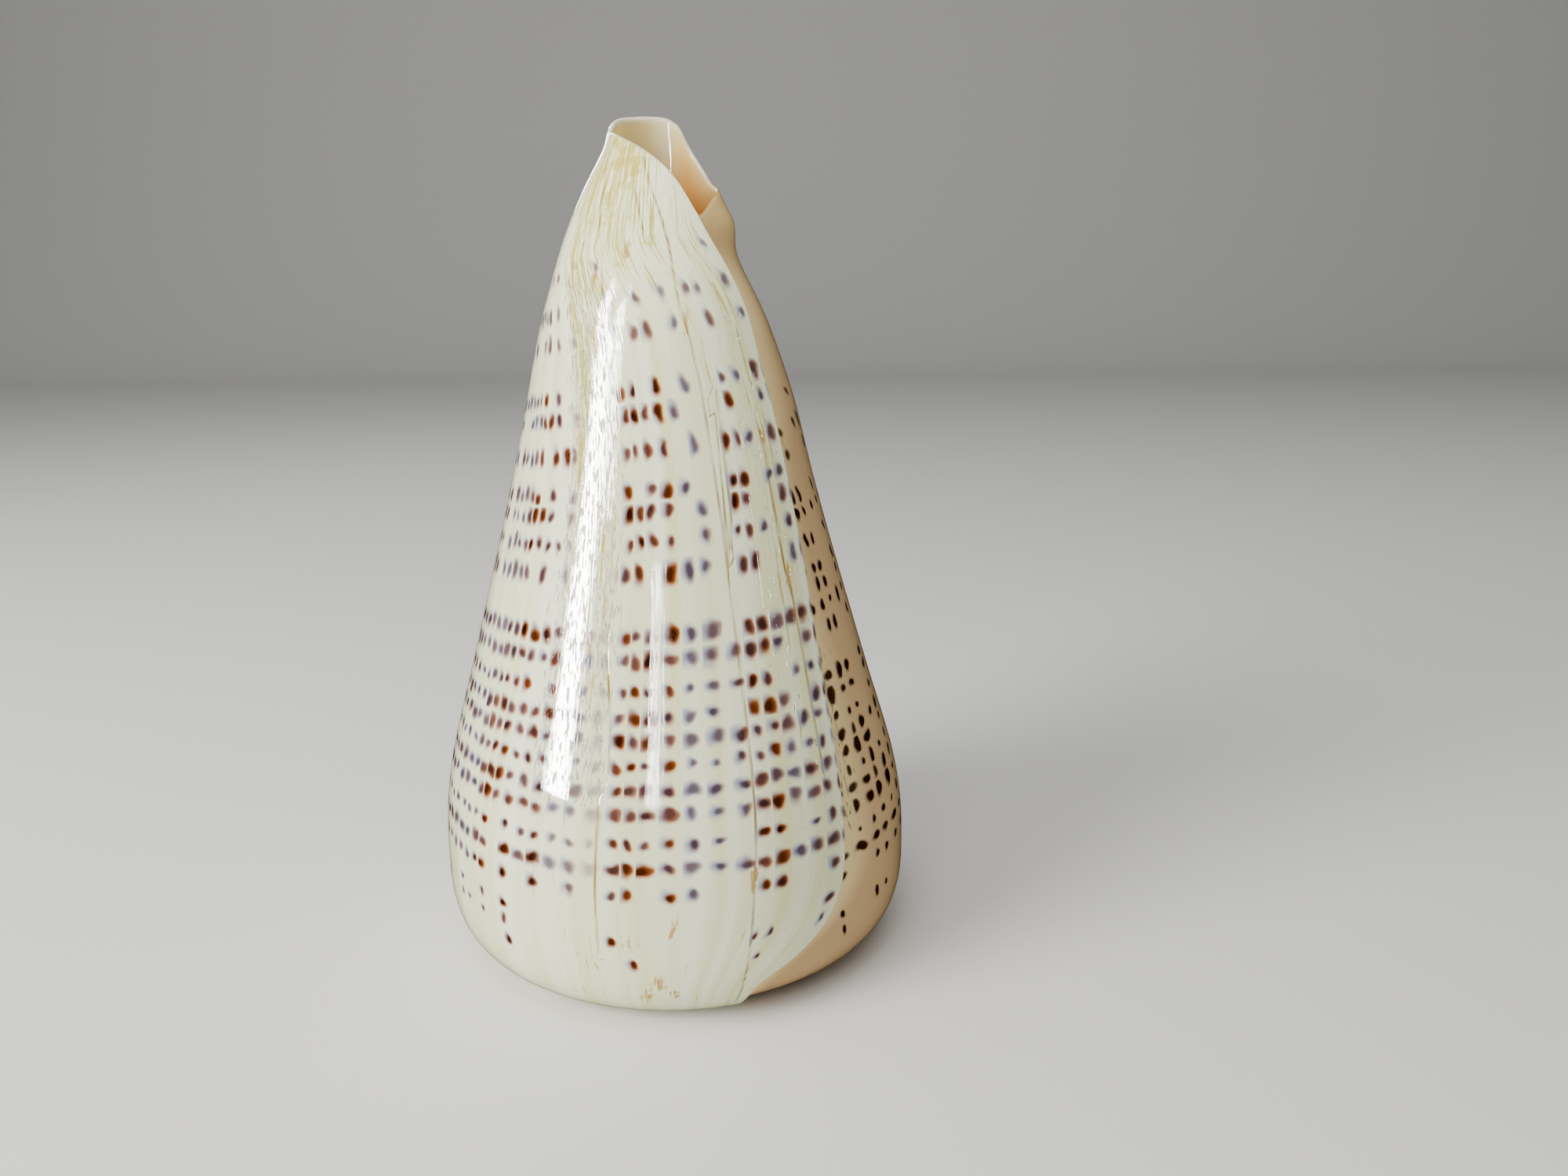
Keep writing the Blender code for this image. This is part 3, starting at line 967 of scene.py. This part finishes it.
        return colour, bump, t.add("MapRange", pits, 0.0, 1.0, self.roughness, self.pit_roughness)

    def ground(self, t: Tree, m: Measures, broad: Socket) -> Socket:
        """Colour under all markings: cream, with callus beside the lip, and beige on the older whorl that is
        partly its tone and partly painted shade, as that whorl lies on the side away from the light.

        Args:
            t: the material's tree.
            m: the shell's measures.
            broad: noise that the cream's two tones are mixed by.

        Returns:
            The colour.
        """
        base = t.add("MixRGB", t.add("MapRange", broad, 0.4, 0.66), linear(self.cream), linear(self.ivory))
        # The canal's tan runs over the worn edge of the older whorl.
        over = self.patch(
            t, (m.grown, ((-350.0, 0.3), (-320.0, 0.75), (-275.0, 0.8), (-255.0, 0.0))),
            (m.depth, ((1.0, 1.0), (9.0, 0.0))),
        )
        # Painted light: the front end is painted paler where it faces up towards the lamps, and yellower as its
        # own tone.
        front_end = self.curve(t, m.reach, ((78.0, 0.0), (94.0, 0.8)))
        # The older whorl's beige is partly its own tone and partly painted shade.
        for share, colour in (
            (front_end, self.front_end), (m.older, self.beige), (m.glaze, self.callus), (over, self.worn_rim),
        ):
            base = t.add("MixRGB", share, base, linear(colour))
        return base

    def stains(self, t: Tree, m: Measures, base: Socket, vein: Socket) -> Socket:
        """Yellow stains: thin streaks, and golden patches round the front end.

        Args:
            t: the material's tree.
            m: the shell's measures.
            base: colour under the stains.
            vein: noise that the streaks are cut from.

        Returns:
            The colour with the stains.
        """
        # Streaks gather near the lip, at the front end and low on the shoulder.
        sides = self.patch(
            t, (m.grown, (
                (0.0, 0.1), (-4.0, 0.6), (-9.0, 0.75), (-14.0, 0.15), (-19.0, 0.1), (-21.5, 0.6), (-25.0, 0.1),
                (-50.0, 0.05), (-53.0, 0.5), (-57.0, 0.7), (-60.0, 1.0), (-69.0, 1.0), (-74.0, 0.2),
                (-120.0, 0.25),
            )),
            (m.reach, ((0.0, 0.3), (14.0, 0.35), (35.0, 0.5), (50.0, 0.8), (78.0, 1.0), (92.0, 0.9))),
        )
        tip = self.patch(
            t, (m.grown, ((0.0, 0.2), (-18.0, 0.5), (-30.0, 1.0), (-58.0, 1.0), (-75.0, 0.45), (-110.0, 0.3))),
            (m.reach, ((80.0, 0.0), (88.0, 0.7), (100.0, 1.0))),
        )
        low = self.patch(
            t, (m.grown, ((0.0, 0.4), (-20.0, 0.8), (-50.0, 0.6), (-70.0, 0.2), (-140.0, 0.2))),
            (m.reach, ((2.0, 0.6), (9.0, 0.45), (16.0, 0.0))),
        )
        where = t.add("MixRGB", 1.0, sides, tip, blend_type="SCREEN")
        where = t.add("MixRGB", 1.0, where, low, blend_type="SCREEN")
        golden = t.add("TexNoise", named={
            "Vector": t.add("TexCoord", out="Object"), "Scale": 1.0 / (self.patch_mm * MM), "Detail": 3.0,
            "Roughness": 0.65,
        })
        # Each noise is cut at a level that falls where its stain gathers.
        for noise, gathers, level, full, soft, strength in (
            (vein, where, 0.74, 0.45, 0.07, 0.8), (golden, tip, 0.78, 0.49, 0.1, 0.6),
        ):
            cut = t.add("MapRange", gathers, 0.0, 1.0, level, full)
            share = t.add("Math", noise, cut, operation="SUBTRACT")
            share = t.add("MapRange", share, 0.0, soft, 0.0, strength)
            base = t.add("MixRGB", share, base, linear(self.stain))
        return base

    def pits(self, t: Tree, m: Measures, tick: Socket) -> Socket:
        """Short etched ticks that break up the gloss, in two bands and beside the lip on the older whorl.

        Args:
            t: the material's tree.
            m: the shell's measures.
            tick: noise that the ticks are cut from.

        Returns:
            How far each point is etched.
        """
        bands = self.patch(
            t, (m.grown, (
                (0.0, 0.2), (-6.0, 0.5), (-12.0, 0.45), (-17.0, 0.0), (-51.0, 0.0), (-54.0, 0.7), (-57.0, 0.95),
                (-72.0, 0.95), (-78.0, 0.1), (-120.0, 0.1),
            )),
            (m.reach, ((24.0, 0.0), (32.0, 0.9), (50.0, 1.0), (88.0, 1.0), (95.0, 0.5))),
        )
        beside = self.curve(t, m.reach, ((20.0, 0.0), (28.0, 1.0), (62.0, 1.0), (72.0, 0.0)))
        near = t.add("Math", m.glaze, 0.9, operation="MULTIPLY")
        beside = t.add("Math", near, beside, operation="MULTIPLY")
        pitted = t.add("Math", bands, beside, operation="MAXIMUM")
        cut = t.add("Math", tick, t.add("MapRange", pitted, 0.0, 1.0, 0.74, 0.53), operation="SUBTRACT")
        return t.add("MapRange", cut, 0.0, 0.025)

    def cell(self, t: Tree, m: Measures) -> Cell:
        """Finds the dot that a point belongs to, with its size, its odds and its random values.

        Args:
            t: the material's tree.
            m: the shell's measures.

        Returns:
            The dot's place.
        """
        rows = Marks().rows
        place = t.add("CombineXYZ", m.column, m.row)
        number = t.add("VectorMath", place, (0.5, 0.5, 0.0), operation="ADD")
        number = t.add("VectorMath", number, operation="FLOOR")
        column, row, _ = t.add("SeparateXYZ", number, out=None).outputs
        first = t.add("TexWhiteNoise", number, out=None)
        other = t.add("VectorMath", number, (37.0, 11.0, 5.0), operation="ADD")
        second = t.add("TexWhiteNoise", other, out=None)
        luck = t.add("SeparateColor", second.outputs["Color"], out=None).outputs
        key = t.add("Math", t.add("Math", row, 0.5, operation="ADD"), self.ramp_rows, operation="DIVIDE")
        tables = []
        for values in (
            [(r.wide / self.ramp_dot, r.tall / self.ramp_dot, r.chance, 1.0) for r in rows],
            [(r.height / self.ramp_height, r.joined, 0.0, 1.0) for r in rows],
        ):
            ramp = t.add("ValToRGB", key, out=None)
            self.stops(ramp, [(k / self.ramp_rows, v) for k, v in enumerate(values)], True)
            tables.append(t.add("SeparateColor", ramp.outputs[0], out=None).outputs)
        sizes, places = tables
        return Cell(
            place=place, number=number, column=column,
            centre=t.add("Math", places[0], self.ramp_height, operation="MULTIPLY"),
            wide=sizes[0], tall=sizes[1], share=sizes[2], joined=places[1], shift=first.outputs["Color"],
            chance=first.outputs["Value"], size_luck=luck[0], form_luck=luck[1], heart_luck=luck[2],
            warm_luck=second.outputs["Value"],
        )

    def dot_place(self, t: Tree, m: Measures, cell: Cell) -> Socket:
        """Place of a point against its dot, 1 being the dot's edge.

        Columns are numbered back from the lip, so the minus side of a dot is the one nearer the lip.

        Args:
            t: the material's tree.
            m: the shell's measures.
            cell: the dot's place.

        Returns:
            The place across and up.
        """
        across = t.add("Math", m.column, cell.column, operation="SUBTRACT")
        across = t.add("Math", across, m.column_mm, operation="MULTIPLY")
        local = t.add("CombineXYZ", across, t.add("Math", m.reach, cell.centre, operation="SUBTRACT"))
        wobble = t.add("TexNoise", out="Color", named={
            "Vector": t.add("TexCoord", out="Object"), "Scale": 1.0 / (self.wobble_mm * MM), "Detail": 0.5,
        })
        for noise, size, way in (
            (cell.shift, (0.45, 0.4, 0.0), "SUBTRACT"), (wobble, (0.9, 1.3, 0.0), "ADD"),
        ):
            step = t.add("VectorMath", noise, (0.5, 0.5, 0.5), operation="SUBTRACT")
            step = t.add("VectorMath", step, size, operation="MULTIPLY")
            local = t.add("VectorMath", local, step, operation=way)
        # Some dots of a row run together, and some on the older whorl are drawn out upwards.
        linked = t.add("Math", cell.form_luck, cell.joined, operation="LESS_THAN")
        linked = t.add("MapRange", linked, 0.0, 1.0, self.ramp_dot, 1.4 * self.ramp_dot)
        tall = t.add("Math", cell.form_luck, 0.78, operation="GREATER_THAN")
        tall = t.add("Math", tall, m.older, operation="MULTIPLY")
        tall = t.add("MapRange", tall, 0.0, 1.0, self.ramp_dot, 1.75 * self.ramp_dot)
        half = t.add(
            "CombineXYZ", t.add("Math", cell.wide, linked, operation="MULTIPLY"),
            t.add("Math", cell.tall, tall, operation="MULTIPLY"), 1.0,
        )
        grow = t.add("MapRange", cell.size_luck, 0.0, 1.0, 0.38, 0.54)
        half = t.add("VectorMath", half, operation="SCALE", named={"Scale": grow})
        shape = t.add("VectorMath", local, half, operation="DIVIDE")
        return t.add("VectorMath", shape, (1.0, 1.0, 0.0), operation="MULTIPLY")

    def dot_seen(self, t: Tree, m: Measures, cell: Cell) -> Socket:
        """How much a cell's dot shows: not at all where it is left out, and less in pale bands.

        Args:
            t: the material's tree.
            m: the shell's measures.
            cell: the dot's place.

        Returns:
            The share that shows.
        """
        # A column that lacks a dot in one row often lacks it in the next.
        lone = t.add("TexWhiteNoise", out="Value", noise_dimensions="1D", named={"W": cell.column})
        odds = t.add("MapRange", t.add("MixRGB", 0.6, cell.chance, lone), 0.14, 0.86)
        there = t.add("Math", odds, cell.share, operation="LESS_THAN")
        # Rows pale in one band, and high up they stop there: partly a real gap between groups of columns, and
        # partly painted highlight, as the dots are faded where the window's glint lies over them.
        glint_faded_band = self.curve(t, m.grown, (
            (0.0, 1.0), (-52.5, 1.0), (-55.0, 0.3), (-59.0, 0.35), (-60.5, 0.75), (-68.0, 0.75), (-70.0, 1.0),
            (-120.0, 1.0),
        ))
        high_band = self.curve(t, m.grown, (
            (0.0, 1.0), (-53.5, 1.0), (-56.0, 0.0), (-68.0, 0.0), (-73.0, 1.0), (-120.0, 1.0),
        ))
        glint_faded_band = t.add("MixRGB", self.curve(t, m.reach, ((46.0, 0.0), (53.0, 1.0))), glint_faded_band, high_band)
        # A dot ends before the middle of the way to its neighbour.
        apart = t.add("VectorMath", cell.place, cell.number, operation="SUBTRACT")
        apart = t.add("VectorMath", apart, operation="ABSOLUTE")
        apart = t.add("SeparateXYZ", apart, out=None).outputs
        apart = t.add("Math", apart[0], apart[1], operation="MAXIMUM")
        apart = t.add("MapRange", apart, 0.4, 0.5, 1.0, 0.25, interpolation_type="SMOOTHSTEP")
        sunk = t.add("MapRange", m.glaze, 0.0, 1.0, 1.0, 0.95)
        faded = self.curve(t, m.reach, ((74.0, 1.0), (84.0, 0.75), (95.0, 0.6)))
        seen = there
        for share in (sunk, glint_faded_band, apart, faded):
            seen = t.add("Math", seen, share, operation="MULTIPLY")
        return seen

    def dot_warmth(self, t: Tree, m: Measures, cell: Cell) -> Socket:
        """How far the dots reach the surface and look rusty, against bluish under clear shell.

        Args:
            t: the material's tree.
            m: the shell's measures.
            cell: the dot's place.

        Returns:
            The share, 1 being rusty.
        """
        warm = t.add("Math", self.curve(t, m.grown, (
            (0.0, 0.3), (-5.0, 0.45), (-12.0, 0.2), (-15.0, 0.8), (-22.0, 0.9), (-25.0, 0.25), (-28.0, 0.05),
            (-35.5, 0.05), (-38.0, 0.95), (-52.0, 1.0), (-55.0, 0.3), (-68.0, 0.2), (-71.0, 0.85),
            (-88.0, 0.85), (-93.0, 0.1), (-104.0, 0.15), (-112.0, 0.5),
        )), t.add("MapRange", cell.warm_luck, 0.0, 1.0, -0.4, 0.3), operation="ADD", use_clamp=True)
        return t.add("Math", warm, self.curve(t, m.reach, ((76.0, 1.0), (86.0, 0.6))), operation="MULTIPLY")

    def dots(self, t: Tree, m: Measures, base: Socket) -> Socket:
        """Rows and columns of dots, each of four layers.

        Args:
            t: the material's tree.
            m: the shell's measures.
            base: colour under the dots.

        Returns:
            The colour with the dots.
        """
        cell = self.cell(t, m)
        flat = self.dot_place(t, m, cell)
        seen, warm = self.dot_seen(t, m, cell), self.dot_warmth(t, m, cell)
        # The trail lies off to the far side of the lip, the orange edge to the near side.
        layers = []
        for off in ((-0.5, -0.05, 0.0), (0.22, 0.1, 0.0), (0.1, 0.0, 0.0), (-0.1, 0.0, 0.0)):
            moved = t.add("VectorMath", flat, off, operation="ADD")
            layers.append(t.add("VectorMath", moved, out="Value", operation="LENGTH"))
        trail, glow, spot, heart = layers
        trail = t.add("MapRange", trail, 0.35, 1.75, 0.95, 0.0, interpolation_type="SMOOTHSTEP")
        trail = t.add("Math", trail, t.add("MapRange", m.older, 0.0, 1.0, 1.0, 0.2), operation="MULTIPLY")
        glow = t.add("MapRange", glow, 0.75, 1.35, 0.55, 0.0, interpolation_type="SMOOTHSTEP")
        glow = t.add("Math", glow, warm, operation="MULTIPLY")
        blur = t.add("MapRange", t.add("SeparateXYZ", flat), -0.5, 0.6, 0.22, 0.6)
        blur = t.add("MixRGB", m.glaze, blur, (0.35, 0.35, 0.35, 1.0))
        start, end = (t.add("Math", 0.84, blur, operation=way) for way in ("SUBTRACT", "ADD"))
        spot = t.add("MapRange", spot, start, end, 1.0, 0.0, interpolation_type="SMOOTHSTEP")
        spot = t.add("Math", spot, t.add("MapRange", warm, 0.0, 1.0, 0.5, 0.95), operation="MULTIPLY")
        bold = t.add("Math", spot, 1.6, operation="MULTIPLY", use_clamp=True)
        spot = t.add("MapRange", m.older, 0.0, 1.0, spot, bold)
        heart = t.add("MapRange", heart, 0.32, 1.02, 1.0, 0.0, interpolation_type="SMOOTHSTEP")
        depth = t.add("MapRange", cell.heart_luck, 0.0, 1.0, 0.65, 1.0)
        heart = t.add("Math", heart, depth, operation="MULTIPLY")
        old = t.add("MixRGB", m.glaze, linear(self.umber), linear(self.sunk))
        rust, dark = (
            t.add("MixRGB", m.older, t.add("MixRGB", warm, linear(cool), linear(hot)), old)
            for cool, hot in ((self.plum, self.rust), (self.slate, self.umber))
        )
        # A blue-grey shadow under clear shell, an orange edge, the spot, and its dark heart.
        colour = base
        for share, layer in (
            (trail, linear(self.blue_grey)), (glow, linear(self.glow)), (spot, rust), (heart, dark),
        ):
            colour = t.add("MixRGB", t.add("Math", share, seen, operation="MULTIPLY"), colour, layer)
        return colour


@dataclass(frozen=True)
class Paper:
    """Matt pale paper for the floor and the backdrop, with no visible pattern."""

    colour: str = "#D9D7D2"
    roughness: float = 0.9

    def material(self) -> bpy.types.Material:
        """Builds the finish.

        Returns:
            The material.
        """
        t = Tree("studio paper, matt")
        t.feed(t.shader, {"Base Color": linear(self.colour), "Roughness": self.roughness})
        return t.material


@dataclass(frozen=True)
class Softbox:
    """One area light, aimed at a point of the shell."""

    name: str
    azimuth: float
    elevation: float
    distance: float
    wide: float
    tall: float
    watts: float
    aim: tuple[float, float, float] = (0.0, 0.0, 0.055)
    glint_only: bool = False
    no_glint: bool = False

    def build(self) -> bpy.types.Object:
        """Hangs the light.

        Returns:
            The light's object.
        """
        data = bpy.data.lights.new(self.name, "AREA")
        data.shape = "RECTANGLE"
        data.size, data.size_y, data.energy = self.wide, self.tall, self.watts
        light = bpy.data.objects.new(self.name, data)
        light.visible_diffuse = not self.glint_only
        light.visible_glossy = not self.no_glint
        light.visible_camera = False
        az, el = math.radians(self.azimuth), math.radians(self.elevation)
        way = Vector((math.sin(az) * math.cos(el), -math.cos(az) * math.cos(el), math.sin(el)))
        light.location = Vector(self.aim) + way * self.distance
        light.rotation_euler = (-way).to_track_quat("-Z", "Y").to_euler()
        bpy.context.scene.collection.objects.link(light)
        return light


@dataclass
class Studio:
    """Floor, backdrop, lights and camera."""

    lights: tuple[Softbox, ...] = (
        Softbox("window", -60.0, 21.0, 0.62, 0.34, 0.42, 7.8, no_glint=True),
        Softbox("low pane glint", -61.5, 4.0, 0.61, 0.12, 0.15, 12.0, glint_only=True),
        Softbox("left pane glint", -60.5, 16.5, 0.61, 0.11, 0.12, 9.5, glint_only=True),
        Softbox("high pane glint", -64.5, 25.0, 0.61, 0.055, 0.07, 3.0, glint_only=True),
        Softbox("right pane glint", -48.5, 22.0, 0.61, 0.025, 0.14, 2.0, glint_only=True),
        Softbox("strip", -15.0, 7.5, 0.70, 0.008, 0.20, 1.0, glint_only=True),
        Softbox("edge glint", -166.0, 24.0, 0.70, 0.06, 0.30, 1.5, glint_only=True),
        Softbox("top", 0.0, 76.0, 0.9, 0.9, 0.9, 5.0, no_glint=True),
        Softbox("front end fill", -15.0, 58.0, 0.15, 0.08, 0.08, 0.11, aim=(0.0, 0.0, 0.097), no_glint=True),
    )
    axis: tuple[float, float] = (0.479, 0.499)
    distance: float = 151.702
    height: float = 83.525
    pitch: float = 13.9365
    yaw: float = 5.3561
    roll: float = 0.2795
    focal: float = 1503.1
    sensor: float = 36.0
    world: str = "#E9ECEF"
    world_strength: float = 0.31
    # The paper in metres: how far back and up it goes, its bend's radius and steps.
    sweep: tuple[float, float, float, int] = (1.6, 1.2, 0.5, 16)
    floor_front: float = 1.2
    half_width: float = 2.5

    def build(self) -> list[bpy.types.Object]:
        """Sets up the floor with its backdrop.

        Returns:
            The stage's objects.
        """
        reach, rise, bend, steps = self.sweep
        path = [(-self.floor_front, 0.0), (reach - bend, 0.0)]
        for k in range(1, steps + 1):
            turn = math.radians(90.0 * k / steps)
            path.append((reach - bend + bend * math.sin(turn), bend - bend * math.cos(turn)))
        path.append((reach, rise))
        points = [(x, y, z) for y, z in path for x in (-self.half_width, self.half_width)]
        faces = [(2 * k, 2 * k + 1, 2 * k + 3, 2 * k + 2) for k in range(len(path) - 1)]
        data = bpy.data.meshes.new("paper_sweep")
        data.from_pydata(points, [], faces)
        data.shade_smooth()
        data.materials.append(Paper().material())
        sweep = bpy.data.objects.new("paper_sweep", data)
        # The gloss mirrors only the glint lights, as in a room that is dark but for its window.
        sweep.visible_glossy = False
        bpy.context.scene.collection.objects.link(sweep)
        return [sweep]

    def light(self) -> None:
        """Hangs the lights and sets the soft light all round."""
        for softbox in self.lights:
            softbox.build()
        world = bpy.data.worlds.new("studio")
        world.use_nodes = True
        background = world.node_tree.nodes["Background"]
        background.inputs[0].default_value = linear(self.world)
        background.inputs[1].default_value = self.world_strength
        bpy.context.scene.world = world
        world.cycles_visibility.glossy = False

    def camera(self) -> None:
        """Puts the camera where the photograph was taken from."""
        pitch, yaw, roll = (math.radians(v) for v in (self.pitch, self.yaw, self.roll))
        forward = Vector((math.sin(yaw) * math.cos(pitch), math.cos(yaw) * math.cos(pitch), -math.sin(pitch)))
        side = Vector((math.cos(yaw), -math.sin(yaw), 0.0))
        over = Vector((math.sin(yaw) * math.sin(pitch), math.cos(yaw) * math.sin(pitch), math.cos(pitch)))
        right = side * math.cos(roll) - over * math.sin(roll)
        up = side * math.sin(roll) + over * math.cos(roll)
        turn = Matrix((right, up, -forward)).transposed()
        data = bpy.data.cameras.new("camera")
        data.sensor_width = self.sensor
        data.lens = self.sensor * self.focal / PICTURE[0]
        data.clip_start = 0.01
        camera = bpy.data.objects.new("camera", data)
        place = Vector((self.axis[0], self.axis[1] - self.distance, self.height)) * MM
        camera.matrix_world = Matrix.Translation(place) @ turn.to_4x4()
        bpy.context.scene.collection.objects.link(camera)
        bpy.context.scene.camera = camera


def main() -> None:
    """Builds the shell and its studio."""
    logging.basicConfig(level=logging.INFO, format="%(message)s")
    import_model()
    shell = Shell()
    piece = shell.build()
    shell.dress(piece)
    logging.info("shell: %d faces", len(piece.data.polygons))
    studio = Studio()
    for stage in studio.build():
        logging.info("stage: %s", stage.name)
    studio.light()
    studio.camera()


if __name__ == "__main__":
    main()
